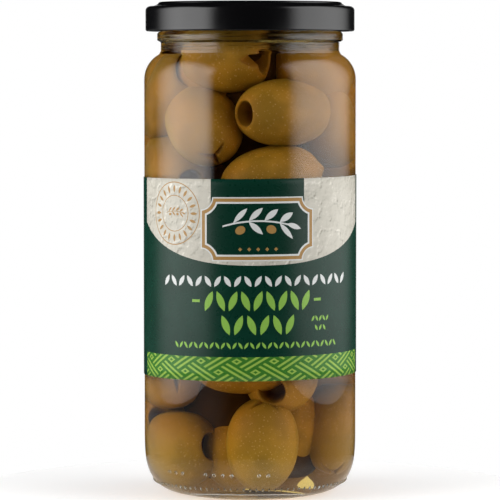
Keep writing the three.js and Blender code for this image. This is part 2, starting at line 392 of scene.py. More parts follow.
def stage_floor():
    """A round matt pale stand. It melts into the white world, and its rim is greyer where it is mirrored."""
    material, tree, shader = new_material(
        "floor_matt", {"Emission Color": grey(1), "Roughness": 1, "Specular IOR Level": 0}
    )
    distance = node(tree, "ShaderNodeVectorMath", {0: object_place(tree)}, "Value", operation="LENGTH")
    rim_share = distance.step(MIRRORED_RIM_FROM * MM, FLOOR_R * MM)
    colour = layer(FLOOR_COLOUR, MIRRORED_RIM, mirrored_ray(tree) * rim_share)
    strength = ray(tree, "Diffuse") * TABLE_BOUNCE + ray(tree, "Camera") * TABLE_SHINE
    fill(shader, {"Base Color": colour, "Emission Strength": strength})
    rim = [around(360 * k / FLOOR_SIDES, FLOOR_R, 0) for k in range(FLOOR_SIDES)]
    floor = make_piece("floor", rim, [tuple(range(FLOOR_SIDES))], material)


def studio_world():
    """White to the eye, mostly dark for mirrored rays, and a soft fill for matt surfaces."""
    world = bpy.data.worlds.new("studio")
    bpy.context.scene.world = world
    world.use_nodes = True
    tree = world.node_tree
    towards = node(tree, "ShaderNodeTexCoord", output="Generated")
    edge = math.cos(math.radians(BACKDROP_HALF_ANGLE))
    behind = axis(towards, "Y").step(*(edge + fade for fade in BACKDROP_FADE))
    down = (axis(towards, "Z") * -1).step(*TABLE_GLOWS_DOWN)
    table = down * abs(axis(towards, "X")).step(*TABLE_GLOWS_ASIDE) * TABLE_MIRRORED
    strength = 1 - mirrored_ray(tree) * (1 - behind) * (1 - table) - ray(tree, "Diffuse") * (1 - AMBIENT)
    fill(tree.nodes["Background"], {"Color": grey(1), "Strength": strength})


def side_panel(name, side, radiance, height, angles):
    """A tall soft panel beside the jar, which fades towards its edges."""
    front, full, fading, back = (-PANEL_AWAY / math.tan(math.radians(angle)) for angle in angles)
    light = bpy.data.lights.new(name, "AREA")
    light.shape = "RECTANGLE"
    light.size = height
    light.size_y = back - front
    # A rectangular lamp's radiance is its watts over 4 times its area.
    light.energy = radiance * 4 * light.size * light.size_y
    light.use_nodes = True
    on_panel = node(light.node_tree, "ShaderNodeNewGeometry", output="Parametric")
    along = axis(on_panel, "Y") * (back - front) + front
    up = axis(on_panel, "X")
    if side > 0:
        up = 1 - up
    glow = along.step(front, full) * (1 - along.step(fading, back))
    glow = glow * up.step(*PANEL_FOOT) * (1 - up.step(*PANEL_HEAD))
    fill(light.node_tree.nodes["Emission"], {"Strength": glow})
    panel = bpy.data.objects.new(name, light)
    panel.location = (side * PANEL_AWAY, (front + back) / 2, PANEL_LOW + height / 2)
    panel.rotation_euler = (0, side * math.radians(90), 0)
    panel.visible_camera = False
    bpy.context.scene.collection.objects.link(panel)
    print(name, "is", round(light.size_y, 2), "m deep at", round(light.energy, 1), "W")


stage_floor()
studio_world()
for name, panel in PANELS.items():
    side_panel(name, *panel)
bpy.context.scene.view_settings.view_transform = "Standard"

# %% [markdown]
# The glass
#
# A machine blows a jar like this into an iron mould. The mould gives the wall its even outside, a
# bearing ring with a push-up inside it, a rounded heel and shoulder, and a bead under the thread. The
# glass is one closed shell, outside and inside, so that light bends twice in it as in the real wall.

# %% The glass's profile and thread
LUGS = 6
LUG_ARC = 46
LUG_STANDS = 1.5
LUG_HEIGHT = 1.9
LUG_LOW_Z = 152.4
LUG_RISE = 4.2
LUG_START = -22
THREAD_STEPS = 26
THREAD_LOW_Z = BEAD_TOP_Z + 0.4
HEEL_STEPS = 30
FLOOR_STEPS = 10


def heel_radius(z):
    """The outside of the heel, a rounded square curve from the bearing ring up to the body."""
    fall = 1 - z / HEEL_HEIGHT
    return HEEL_CENTRE_R + (BODY_R - HEEL_CENTRE_R) * (1 - fall**HEEL_POWER) ** (1 / HEEL_POWER)


def bore_radius(z):
    """The inside radius of the glass at a height."""
    if z < FLOOR_Z:
        return 0
    if z < FLOOR_Z + INNER_HEEL_R:
        drop = FLOOR_Z + INNER_HEEL_R - z
        return BORE_R - INNER_HEEL_R + math.sqrt(max(INNER_HEEL_R**2 - drop**2, 0))
    if z > SHOULDER_Z:
        rise = min(z - SHOULDER_Z, INNER_SHOULDER_R)
        return max(BORE_R - INNER_SHOULDER_R + math.sqrt(INNER_SHOULDER_R**2 - rise**2), MOUTH_R)
    return BORE_R


def heel_curve():
    """Points of the heel, closer together where it is flatter."""
    heights = [HEEL_HEIGHT * (1 - math.cos(math.radians(90 * i / HEEL_STEPS))) for i in range(1, HEEL_STEPS)]
    return [(heel_radius(z), z) for z in heights if heel_radius(z) > BEARING_OUTER_R + 0.8]


def outer_profile():
    """From the middle of the base, out along the bearing ring, and up to the rim."""
    bearing = [(BEARING_INNER_R, 0, BEARING_ROUND), (BEARING_OUTER_R, 0, BEARING_ROUND)]
    base = rounded([(0, PUSH_UP, 0), *PUSH_UP_CURVE, *bearing, (*heel_curve()[0], 0)])
    neck_angle = math.degrees(math.acos((NECK_R + 0.5 - BODY_R + SHOULDER_R) / SHOULDER_R))
    shoulder = arc(BODY_R - SHOULDER_R, SHOULDER_Z, SHOULDER_R, 0, neck_angle, 16)
    neck = rounded(
        [
            (*shoulder[-1], 0),
            (NECK_R, NECK_LOW_Z, 0.4),
            (NECK_R, NECK_TOP_Z, 0.4),
            (BEAD_R, NECK_TOP_Z + 0.7, 0.6),
            (BEAD_R, BEAD_TOP_Z - 0.6, 0.5),
            (FINISH_R, BEAD_TOP_Z, 0.2),
            (FINISH_R, THREAD_LOW_Z, 0),
        ]
    )
    step = (RIM_Z - RIM_ROUND - THREAD_LOW_Z) / THREAD_STEPS
    finish = [(FINISH_R, THREAD_LOW_Z + step * i) for i in range(1, THREAD_STEPS)]
    return base + heel_curve()[1:] + [(BODY_R, HEEL_HEIGHT)] + shoulder + neck[1:] + finish


def inner_wall(reach=0):
    """The inside from the middle of the floor up to the mouth. It reaches into the glass by reach."""
    edge = BORE_R - INNER_HEEL_R
    floor = []
    for i in range(FLOOR_STEPS, 0, -1):
        r = edge * (1 - i / FLOOR_STEPS)
        floor.append((r, FLOOR_Z - reach + FLOOR_CROWN * (0.5 + 0.5 * math.cos(math.pi * r / edge))))
    heel = arc(edge, FLOOR_Z + INNER_HEEL_R, INNER_HEEL_R + reach, -90, 0, 12)
    end = math.degrees(math.acos((MOUTH_R - BORE_R + INNER_SHOULDER_R) / INNER_SHOULDER_R))
    return floor + heel + arc(BORE_R - INNER_SHOULDER_R, SHOULDER_Z, INNER_SHOULDER_R + reach, 0, end, 12)


def inner_profile():
    """From the rim down the bore and across the floor."""
    low = RIM_Z - 1.4
    rim = [(FINISH_R, low, 0), (FINISH_R, RIM_Z, RIM_ROUND), (MOUTH_R, RIM_Z, RIM_ROUND), (MOUTH_R, low, 0)]
    return rounded(rim) + inner_wall()[::-1]


def thread(azimuth, r, z):
    """How far the thread lugs stand out of the finish at a place."""
    if r != FINISH_R or z < THREAD_LOW_Z - 0.1:
        return 0
    turn = (azimuth - LUG_START) % (360 / LUGS)
    if turn > LUG_ARC:
        return 0
    along = turn / LUG_ARC
    full = math.sin(math.pi * along) ** 0.5
    middle = LUG_LOW_Z + LUG_RISE * along
    off = abs(z - middle) / (LUG_HEIGHT / 2 * full + 1e-6)
    return LUG_STANDS * full * (1 - off**4) if off < 1 else 0


# %% The clear glass finish
GLASS_INDEX = 1.5
GLASS_COLOUR = (0.93, 0.97, 0.96, 1)
WAVE_SCALE = 45
WAVE_STRETCH = (1, 1, 0.35)
RING_SCALE = 1500
RING_STRETCH = (0.03, 0.03, 1)
RING_STRENGTH = 9
GLASS_RELIEF = 0.05


def height_share(tree, low, high):
    """0 below one height on the piece and 1 above another, in millimetres."""
    return axis(object_place(tree), "Z").step(low * MM, high * MM)


def clear_material(name, colour, index, mirror):
    """A smooth clear material. mirror is its reflection's strength."""
    constants = {"Base Color": colour, "Transmission Weight": 1, "Roughness": 0, "IOR": index}
    return new_material(name, constants | {"Specular Tint": grey(mirror)})


def let_light_through(material, shader, tint=None):
    """Shadow and matt rays go straight through, the matt ones tinted, so that light gets in without noise."""
    tree = material.node_tree
    matt = ray(tree, "Diffuse")
    colour = layer(grey(1), tint, matt) if tint else grey(1)
    clear = node(tree, "ShaderNodeBsdfTransparent", {"Color": colour})
    straight = ray(tree, "Shadow").most(matt)
    mix = node(tree, "ShaderNodeMixShader", {0: straight, 1: Field(tree, shader.outputs[0]), 2: clear})
    fill(tree.nodes["Material Output"], {"Surface": mix})


def glass_finish(name, mirror):
    """Clear glass, slightly wavy, with fine turned rings on the neck."""
    material, tree, shader = clear_material(name, GLASS_COLOUR, GLASS_INDEX, mirror)
    wave = noise(object_place(tree, WAVE_STRETCH), WAVE_SCALE)
    rings = noise(object_place(tree, RING_STRETCH), RING_SCALE)
    neck = height_share(tree, NECK_LOW_Z - 1, NECK_LOW_Z)
    relief(shader, wave + rings * neck * RING_STRENGTH, GLASS_RELIEF)
    let_light_through(material, shader)
    return material


clear_glass = glass_finish("clear_glass", 1)
wet_glass = glass_finish("wet_glass", 0)

# %% The glass
BRINE_TOP_Z = 156
NEAR_WALL = 0.3
glass = make_piece(
    "jar_glass", *turned(outer_profile() + inner_profile(), swell=thread), clear_glass, wet_glass
)
for face in glass.data.polygons:
    middle = face.center / MM
    inside = math.hypot(middle.x, middle.y) < bore_radius(middle.z) + NEAR_WALL
    face.material_index = 1 if inside and FLOOR_Z - 0.1 < middle.z < BRINE_TOP_Z else 0
report(glass)

# %% [markdown]
# The brine
#
# Between glass and brine there is no air, and a gap there would turn the wall into a mirror. So the
# brine reaches two tenths of a millimetre into the glass: light then meets glass, brine and glass in
# the right order and bends as it does in the real jar. The liquid itself is clear and a little yellow,
# which plain absorption through its depth gives. Soft light that reaches an olive has wandered between
# its neighbours on the way, and it comes warmer for that, but less so where the pale table sends it up.

# %% The brine
BRINE_REACH = 0.2
BRINE_INDEX = 1.34
BRINE_COLOUR = (0.93, 0.8, 0.38, 1)
BRINE_DENSITY = 55
WANDERED_LIGHT = (1, 0.57, 0.35, 1)
TABLE_LIGHT = (1, 0.84, 0.54, 1)
TABLE_LIGHT_Z = (5, 30)


def brine_profile():
    """The inside of the glass, reached into, from the floor to the level under the lid."""
    return inner_wall(BRINE_REACH) + [(MOUTH_R + BRINE_REACH, BRINE_TOP_Z), (0, BRINE_TOP_Z)]


def brine_finish():
    """Clear liquid that tints light by the depth it crosses."""
    material, tree, shader = clear_material("brine", grey(1), BRINE_INDEX, 0)
    tint = layer(TABLE_LIGHT, WANDERED_LIGHT, height_share(tree, *TABLE_LIGHT_Z))
    let_light_through(material, shader, tint)
    depth = node(tree, "ShaderNodeVolumeAbsorption", {"Color": BRINE_COLOUR, "Density": BRINE_DENSITY})
    fill(tree.nodes["Material Output"], {"Volume": depth})
    return material


brine = make_piece("brine", *turned(brine_profile()), brine_finish())
report(brine)

# %% [markdown]
# The lid
#
# The lid is pressed from thin steel, enamelled black and rolled in at its lower edge. A flat panel is
# raised over a step, the shoulder is a quarter round, and the skirt ends in the curl. The enamel is
# satin: it mirrors the panels softly, so the highlights fade at their edges.

# %% The lid
LID_WALL = 0.55
PANEL_R = 30.4
PANEL_ROUND = 0.8
STEP_Z = 161
STEP_R = 33
CURL_R = 0.65
SATIN = 0.17
SATIN_SCALE = 300
PEEL_SCALE = 900
PEEL_RELIEF = 0.01


def lid_profile():
    """From the curl's inner lip out round the curl, up the skirt, over the panel and back underneath."""
    shoulder = LID_R - STEP_R
    under = LID_TOP_Z - LID_WALL
    outside = arc(LID_R - CURL_R, LID_LOW_Z + CURL_R, CURL_R, -180, 0, 12)
    outside += arc(STEP_R, STEP_Z - shoulder, shoulder, 0, 90, 10)
    outside += [(PANEL_R + 1.3, STEP_Z + 0.05), (PANEL_R + 0.8, STEP_Z + 0.35)]
    outside += arc(PANEL_R - PANEL_ROUND, LID_TOP_Z - PANEL_ROUND, PANEL_ROUND, 15, 90, 6)
    inside = [(0, LID_TOP_Z), (0, under), (PANEL_R - 0.1, under), (PANEL_R + 0.7, STEP_Z - LID_WALL + 0.2)]
    inside += arc(STEP_R, STEP_Z - shoulder, shoulder - LID_WALL, 90, 0, 6)
    inside.append((LID_R - LID_WALL, LID_LOW_Z + 3 * CURL_R))
    return outside + inside


def enamel_finish():
    """Black satin enamel with the faint orange peel of stoved paint."""
    material, tree, shader = new_material("black_enamel", {"Base Color": BLACK})
    place = object_place(tree)
    fill(shader, {"Roughness": noise(place, SATIN_SCALE) * 0.05 + SATIN})
    relief(shader, noise(place, PEEL_SCALE), PEEL_RELIEF)
    return material


lid = make_piece("lid_shell", *turned(lid_profile(), closed=True), enamel_finish())
report(lid)

# %% [markdown]
# The label
#
# The label is one strip of coated paper that winds once round the jar, climbs a little as it goes, and
# laps over its own start at the back. That is a rule, so Geometry Nodes can make it: a flat grid is
# bent round the glass by a formula, and the same tree stores how far each point lies along and up the
# paper in millimetres, for the print.

# %% Building a Geometry Nodes tree


def geometry_tree(name, kinds, build):
    """A tree with named inputs. build makes its geometry from them, and it ends in plain mesh."""
    tree = bpy.data.node_groups.new(name, "GeometryNodeTree")
    for title, kind in {"Geometry": "Geometry", **kinds, "Material": "Material"}.items():
        tree.interface.new_socket(title, in_out="INPUT", socket_type="NodeSocket" + kind)
    tree.interface.new_socket("Geometry", in_out="OUTPUT", socket_type="NodeSocketGeometry")
    group = tree.nodes.new("NodeGroupInput")
    given = {socket.name: Field(tree, socket) for socket in group.outputs if socket.name}
    plain = node(tree, "GeometryNodeRealizeInstances", {"Geometry": build(tree, given)})
    painted = node(tree, "GeometryNodeSetMaterial", {"Geometry": plain, "Material": given["Material"]})
    fill(tree.nodes.new("NodeGroupOutput"), {"Geometry": painted})
    return tree


def point_around(azimuth, radius, height):
    """A place from its azimuth in radians, radius and height, as around() gives it."""
    return vector(azimuth.math("SINE") * radius, azimuth.math("COSINE") * radius * -1, height)


def grown_piece(name, material, tree, values):
    """A piece that a tree makes, its inputs set by their identifiers, and that is kept as plain mesh."""
    piece = make_piece(name, [], [], material)
    modifier = piece.modifiers.new(tree.name, "NODES")
    modifier.node_group = tree
    values = {**values, "Material": material}
    for socket in tree.interface.items_tree:
        if socket.in_out == "INPUT" and socket.name in values:
            modifier[socket.identifier] = values[socket.name]
    piece.update_tag()
    evaluated = piece.evaluated_get(bpy.context.evaluated_depsgraph_get())
    made = bpy.data.meshes.new_from_object(evaluated)
    piece.modifiers.clear()
    made.name = piece.name
    made.shade_smooth()
    piece.data = made
    report(piece)
    return piece


# %% The label's strip
LABEL_GAP = 0.05
LABEL_THICK = 0.15
LABEL_CENTRE = 4.3
LABEL_CLIMB = 1.5
SEAM = 135
SEAM_LAP = 7.5
LABEL_COLUMNS = 294
LABEL_ROWS = 27
LAP_LIFT = 1.4
LABEL_SIZES = ("Radius", "Height", "Low edge", "Climb", "Centre", "Start", "Turn", "Lap", "Paper")
WELD = 1e-6


def bent_strip(tree, given):
    """A grid bent round the glass, with its place on the paper stored for the print."""
    grid = {"Size X": 1, "Size Y": 1, "Vertices X": LABEL_COLUMNS, "Vertices Y": LABEL_ROWS}
    flat = node(tree, "GeometryNodeMeshGrid", grid)
    place = node(tree, "GeometryNodeInputPosition")
    turn = (axis(place, "X") + 0.5) * given["Turn"]
    up = (axis(place, "Y") + 0.5) * given["Height"]
    azimuth = turn + given["Start"]
    from_centre = azimuth - given["Centre"]
    lap_start = given["Turn"] - given["Lap"]
    on_top = turn.step(lap_start - given["Lap"], lap_start)
    radius = given["Radius"] + on_top * given["Paper"] * LAP_LIFT
    height = given["Low edge"] + given["Climb"] * from_centre / math.tau + up
    on_paper = vector(from_centre * given["Radius"] / MM, up / MM)
    # The place on the paper is read from the flat grid, so it is stored before the grid is bent.
    marked = node(
        tree,
        "GeometryNodeStoreNamedAttribute",
        {"Geometry": flat, "Name": "print_place", "Value": on_paper},
        data_type="FLOAT_VECTOR",
    )
    round_jar = point_around(azimuth, radius, height)
    bent = node(tree, "GeometryNodeSetPosition", {"Geometry": marked, "Position": round_jar})
    thickness = {"Mesh": bent, "Offset Scale": given["Paper"], "Individual": False}
    raised = node(tree, "GeometryNodeExtrudeMesh", thickness)
    join = tree.nodes.new("GeometryNodeJoinGeometry")
    for part in (raised, node(tree, "GeometryNodeFlipFaces", {"Mesh": bent})):
        fill(join, {0: part})
    both = {"Geometry": Field(tree, join.outputs[0]), "Distance": WELD}
    return node(tree, "GeometryNodeMergeByDistance", both)


# %% [markdown]
# The print
#
# The paper carries fields of colour and simple ornaments, and each is a formula over the millimetres
# along and up the label. A shape is a distance that is negative inside, and an ink is laid wherever the
# distance is below zero. The wording of a real label is left out: rows of leaves and lozenges stand in
# its place, with the same weight and colour.

# %% Inks and shapes
DARK_GREEN = paint(5, 44, 32)
GREEN_MOTTLE = paint(9, 52, 39)
LIGHT_GREEN = paint(130, 174, 74)
WEAVE_GREEN = paint(54, 108, 36)
WEAVE_LIGHT = paint(136, 168, 70)
CREAM = paint(190, 186, 174)
CREAM_SHADE = paint(158, 153, 140)
PLASTER_LIT = paint(228, 224, 214)
PLASTER_DARK = paint(120, 115, 102)
WHITE_INK = paint(206, 208, 206)
GOLD = paint(158, 122, 70)


def block(u, v, left, right, low, high):
    """An upright rectangle."""
    across = abs(u - (left + right) / 2) - (right - left) / 2
    return across.most(abs(v - (low + high) / 2) - (high - low) / 2)


def away(u, v):
    """How far a place is from where u and v are both 0."""
    return (u * u + v * v).math("SQRT")


def swung(u, v, angle):
    """The same place seen along axes turned by an angle in degrees."""
    cos, sin = math.cos(math.radians(angle)), math.sin(math.radians(angle))
    return u * cos + v * sin, v * cos - u * sin


def leaf(u, v, length, width):
    """A pointed leaf that lies along u."""
    return abs(v) - (1 - (u / (length / 2)) ** 2) * (width / 2)


def lozenge(u, v, width, height):
    """A diamond."""
    return (abs(u) / (width / 2) + abs(v) / (height / 2) - 1) * (height / 2)


def leaf_row(u, v, leaves, pitch, length, width, lean):
    """A row of leaves about the middle that lean one way and the other in turn."""
    shift = 0 if leaves % 2 else pitch / 2
    across = (u - shift).repeated(pitch)
    other = ((u - shift) / pitch).math("ROUND").math("MODULO", 2)
    along, beside = swung(across * (1 - abs(other) * 2), v, lean)
    return leaf(along, beside, length, width).most(abs(u) - leaves * pitch / 2)


def sprig(u, v, size):
    """A stem that grows along u with leaves in pairs, and an olive in place of every other lower leaf."""
    reach = size / 2
    bent = v - (1 - (u / reach) ** 2) * (0.08 * size)
    leaves = (abs(bent) - 0.011 * size).most(abs(u) - 0.92 * reach)
    leaves = leaves.least(leaf(u - 0.95 * reach, bent, 0.2 * size, 0.07 * size))
    olives = None
    for i, share in enumerate((-0.66, -0.26, 0.14, 0.54)):
        foot = u - share * reach - 0.1 * size
        for side in (-1, 1) if i % 2 else (1,):
            along, beside = swung(foot, bent - side * 0.09 * size, side * 42)
            leaves = leaves.least(leaf(along, beside, 0.24 * size, 0.075 * size))
        if i % 2 == 0:
            olive = away(foot * 0.85, bent + 0.1 * size) - 0.055 * size
            olives = olive if olives is None else olives.least(olive)
    return leaves, olives


def plaque(u, v, half_width, half_height, notch):
    """A rectangle whose corners are cut in by quarter rounds."""
    across, up = abs(u) - half_width, abs(v) - half_height
    return across.most(up).most(notch - away(across, up))


def inked(colour, ink, *distances):
    """Lays an ink over a colour wherever a place is inside any of the shapes."""
    nearest = distances[0]
    for distance in distances[1:]:
        nearest = nearest.least(distance)
    return layer(colour, ink, nearest < 0)


# %% [markdown]
# The woven band
#
# Along the foot of the label runs a traditional basket weave: pairs of bars pass over and under each
# other on the slant, and a small diamond sits in each opening. Two slanting coordinates count the
# openings, and which pair lies on top alternates from one crossing to the next.

# %% A basket weave
WEAVE_PITCH = 12.07
WEAVE_RISE = 7.0
WEAVE_U = -43.1
WEAVE_V = 6.4
BAR_OFFSET = 0.125
BAR_HALF = 0.058
BAR_SPAN = 0.68
DIAMOND = 0.105
DIAMOND_LINE = 0.042


def weave(u, v):
    """The bars and diamonds of the weave, as a shape."""
    across, up = (u - WEAVE_U) / WEAVE_PITCH, (v - WEAVE_V) / WEAVE_RISE
    falling, rising = across - up, across + up
    shape = abs(abs(falling.repeated(1)).most(abs(rising.repeated(1))) - DIAMOND) - DIAMOND_LINE
    for along, beside, first in ((rising, falling, 0), (falling, rising, 1)):
        channel = beside.math("FLOOR")
        bars = abs(abs(beside - channel - 0.5) - BAR_OFFSET) - BAR_HALF
        span = abs((along - channel - 0.5 - first).repeated(2)) - BAR_SPAN
        shape = shape.least(bars.most(span))
    return shape


# %% The label's finish
PLAQUE_V = 49
PLAQUE_SIZE = (19, 10.3, 4)
PLAQUE_TAB = (-15.5, 15.5, 46, 70)
PLAQUE_RINGS = ((0, WHITE_INK), (0.4, GOLD), (1.5, WHITE_INK), (2.1, DARK_GREEN))
PLAQUE_SPRIG = 25
LOZENGE = (1.3, 1.3)
LOZENGE_PITCH = 2.9
LOZENGES_HALF = 7.3
LOZENGES_BELOW = 6.5
STAMP_U = -29.6
STAMP_V = 53.9
STAMP_RINGS = ((10.1, 0.16), (5.8, 0.13))
STAMP_TICKS = 20
STAMP_TICK_R = 7.95
STAMP_TICK = (2.6, 0.95)
STAMP_SPRIG = 8.4
FRONT_LEFT = -47.7
FRONT_RIGHT = 46.4
BAND_TOP = 7.8
BOW_LOW = 37.3
BOW_RISE = 12.8
BOW_HALF_WIDTH = 47
BOW_POWER = 2.5
# Each row of leaves: its middle across and up, leaves, pitch, and the leaves' length, width and lean
WHITE_ROW = (0, 32.2, 21, 3.3, 4.1, 1.55, 58)
GREEN_ROWS = [
    (0, 25.85, 9, 4.05, 6.9, 2.3, 68),
    (0, 18.1, 6, 4.2, 6.9, 2.3, 68),
    (22, 19.7, 5, 1.5, 2.1, 0.8, 62),
    (22, 16.7, 3, 1.7, 2.1, 0.85, 62),
    (0, 11.5, 31, 1.9, 2.5, 0.85, 58),
]
# Left, right, low and high
DASHES = (19.4, 22.2, 25.4, 26.3)
BACK_PANEL = (44, 9, 56)
RULES = (7, 41, 12, 52)
RULE_PITCH = 2.1
RULE_HALF = 0.16
ROUGH_SCALE = 0.16
RIDGE_SCALE = 0.09
RIDGE_WIDTH = 0.045
RIDGE_HIGH = 0.12
PATCH_SCALE = 0.07
PATCH_SHARE = 0.25
LIT_SHIFT = 0.4
LIT_STRENGTH = 5
LIT_SHARE = 0.8
PAPER_RELIEF = 0.03


def plaster(u, v):
    """The print of a trowelled plaster wall: soft patches, and ridges lit from one side."""

    def wall(shift):
        place = vector(u + shift, v - shift)
        rough = noise(place, ROUGH_SCALE, 7)
        return rough + abs(noise(place, RIDGE_SCALE, 5) - 0.5).step(0, RIDGE_WIDTH) * RIDGE_HIGH

    lit = (wall(0) - wall(LIT_SHIFT)) * LIT_STRENGTH
    patches = noise(vector(u, v), PATCH_SCALE, 3).step(0.3, 0.7)
    shaded = layer(CREAM, CREAM_SHADE, patches * PATCH_SHARE)
    shaded = layer(shaded, PLASTER_LIT, lit.step(0, 1) * LIT_SHARE)
    return layer(shaded, PLASTER_DARK, (lit * -1).step(0, 1) * LIT_SHARE)


def front_print(colour, u, v):
    """The front's fields of colour."""
    front = abs(u - (FRONT_LEFT + FRONT_RIGHT) / 2) - (FRONT_RIGHT - FRONT_LEFT) / 2
    bow = abs(u / BOW_HALF_WIDTH) ** BOW_POWER * BOW_RISE + BOW_LOW
    colour = inked(colour, plaster(u, v), (bow - v).most(front))
    colour = inked(colour, DARK_GREEN, block(u, v, *PLAQUE_TAB))
    band = (v - BAND_TOP).most(front)
    colour = inked(colour, WEAVE_GREEN, band)
    return inked(colour, WEAVE_LIGHT, weave(u, v).most(band))


def rows_of_leaves(colour, u, v):
    """Ornament where a label carries its wording, in the same weight and colour."""
    white, *green = (leaf_row(u - row[0], v - row[1], *row[2:]) for row in (WHITE_ROW, *GREEN_ROWS))
    return inked(inked(colour, WHITE_INK, white), LIGHT_GREEN, block(abs(u), v, *DASHES), *green)


def emblem(colour, u, v):
    """A dark plaque with a gold frame and a sprig, where a label has its name."""
    up = v - PLAQUE_V
    shape = plaque(u, up, *PLAQUE_SIZE)
    for inset, ink in PLAQUE_RINGS:
        colour = inked(colour, ink, shape + inset)
    leaves, olives = sprig(u, up - 0.6, PLAQUE_SPRIG)
    row = lozenge(u.repeated(LOZENGE_PITCH), up + LOZENGES_BELOW, *LOZENGE).most(abs(u) - LOZENGES_HALF)
    return inked(inked(colour, WHITE_INK, leaves), GOLD, row, olives)


def stamp(colour, u, v):
    """A round stamp of two fine rings with ticks between them and a small sprig."""
    across, up = u - STAMP_U, v - STAMP_V
    radius = away(across, up)
    rings = (abs(radius - ring_r) - half_width for ring_r, half_width in STAMP_RINGS)
    spoke = up.math("ARCTAN2", across).repeated(math.tau / STAMP_TICKS) * radius
    ticks = leaf(radius - STAMP_TICK_R, spoke, *STAMP_TICK)
    return inked(colour, GOLD, *rings, ticks, *sprig(across, up, STAMP_SPRIG))


def back_panel(colour, u, v):
    """A ruled cream panel past the right edge of the front."""
    wide, low, high = BACK_PANEL
    left, right, first, last = RULES
    panel = block(u, v, FRONT_RIGHT + 4, FRONT_RIGHT + wide, low, high)
    rules = block(u, v, FRONT_RIGHT + left, FRONT_RIGHT + right, first, last)
    colour = inked(colour, CREAM, panel)
    return inked(colour, DARK_GREEN, (abs(v.repeated(RULE_PITCH)) - RULE_HALF).most(rules))


def label_finish():
    """Coated paper with its print."""
    material, tree, shader = new_material("printed_paper", {"Specular IOR Level": 0.2})
    print_place = stored(tree, "print_place", "Vector")
    u, v = axis(print_place, "X"), axis(print_place, "Y")
    place = object_place(tree)
    colour = layer(DARK_GREEN, GREEN_MOTTLE, noise(place, 120, 4).step(0.3, 0.8))
    for laid in (front_print, rows_of_leaves, emblem, stamp, back_panel):
        colour = laid(colour, u, v)
    fill(shader, {"Base Color": colour, "Roughness": noise(place, 400) * 0.08 + 0.24})
    relief(shader, noise(object_place(tree, (1, 1, 0.6)), 90), PAPER_RELIEF)
    return material


label = grown_piece(
    "label_strip",
    label_finish(),
    geometry_tree("strip_round_a_jar", dict.fromkeys(LABEL_SIZES, "Float"), bent_strip),
    {
        "Radius": (BODY_R + LABEL_GAP) * MM,
        "Height": LABEL_HEIGHT * MM,
        "Low edge": LABEL_LOW_Z * MM,
        "Climb": LABEL_CLIMB * MM,
        "Centre": math.radians(LABEL_CENTRE),
        "Start": math.radians(SEAM) - math.tau,
        "Turn": math.tau + math.radians(SEAM_LAP),
        "Lap": math.radians(SEAM_LAP),
        "Paper": LABEL_THICK * MM,
    },
)

# %% [markdown]
# Bumps on the glass
#
# A bottle mould leaves two kinds of bump near the base: groups of round dots on the heel, by which the
# works tell their moulds apart, and a ring of short ribs that keeps the hot jar from sticking where it is
# set down. Both are small bumps set round the jar at an even pitch, so one Geometry Nodes tree makes
# both. Where a bump sits on the heel gives its radius and how far it leans.

# %% A ring of bumps
DOT = (9.3, (0.6, 0.6, 0.6))
RIB = (4.4, (0.3, 0.4, 0.8))
HEEL_BUMPS = {
    # azimuth of the first, count and pitch, then each bump's height on the heel and half sizes
    "heel_dots_left": (-50, 3, 5, *DOT),
    "heel_dots_middle": (-25, 4, 5, *DOT),
    "heel_dots_right": (5, 2, 5, *DOT),
    "base_ribs": (0, 96, 3.75, *RIB),
}
BUMP_SIZES = dict.fromkeys(("First", "Pitch", "Radius", "Height", "Lean"), "Float")


def ring_of_ovals(tree, given):
    """Small ovals at an even pitch along a ring, turned to face outwards and leaning with the surface."""
    azimuth = given["First"] + node(tree, "GeometryNodeInputIndex") * given["Pitch"]
    place = point_around(azimuth, given["Radius"], given["Height"])
    places = node(tree, "GeometryNodePoints", {"Count": given["Count"], "Position": place})
    oval = node(tree, "GeometryNodeMeshUVSphere", {"Segments": 16, "Rings": 8, "Radius": 1})
    facing = {"Euler": vector(given["Lean"], 0, azimuth)}
    turned_out = node(tree, "FunctionNodeEulerToRotation", facing)
    bumps = {"Points": places, "Instance": oval, "Rotation": turned_out, "Scale": given["Size"]}
    return node(tree, "GeometryNodeInstanceOnPoints", bumps)


def heel_slope(z):
    """How far the heel's surface faces down at a height, in radians."""
    return math.atan2(heel_radius(z + 0.1) - heel_radius(z - 0.1), 0.2)


def bumps_on_heel(name, tree, first, count, pitch, z, size):
    """A piece of bumps half sunk into the heel at a height."""
    values = {
        "Count": count,
        "First": math.radians(first),
        "Pitch": math.radians(pitch),
        "Radius": heel_radius(z) * MM,
        "Height": z * MM,
        "Lean": heel_slope(z),
        "Size": [MM * side for side in size],
    }
    return grown_piece(name, clear_glass, tree, values)


bumps = geometry_tree("bumps_on_a_ring", {"Count": "Int", **BUMP_SIZES, "Size": "Vector"}, ring_of_ovals)
heel_bumps = [bumps_on_heel(name, bumps, *bump) for name, bump in HEEL_BUMPS.items()]

# %% [markdown]
# The olives
#
# Each olive is a full oval, slightly uneven. Its stone was pushed out, which leaves a round hole at one
# end and a three-cornered cut at the other. Every olive is its own shape, so they are made in code and
# not as copies. Each slides out from the jar's axis until it meets the glass, as the weight of the heap
# presses a real one.

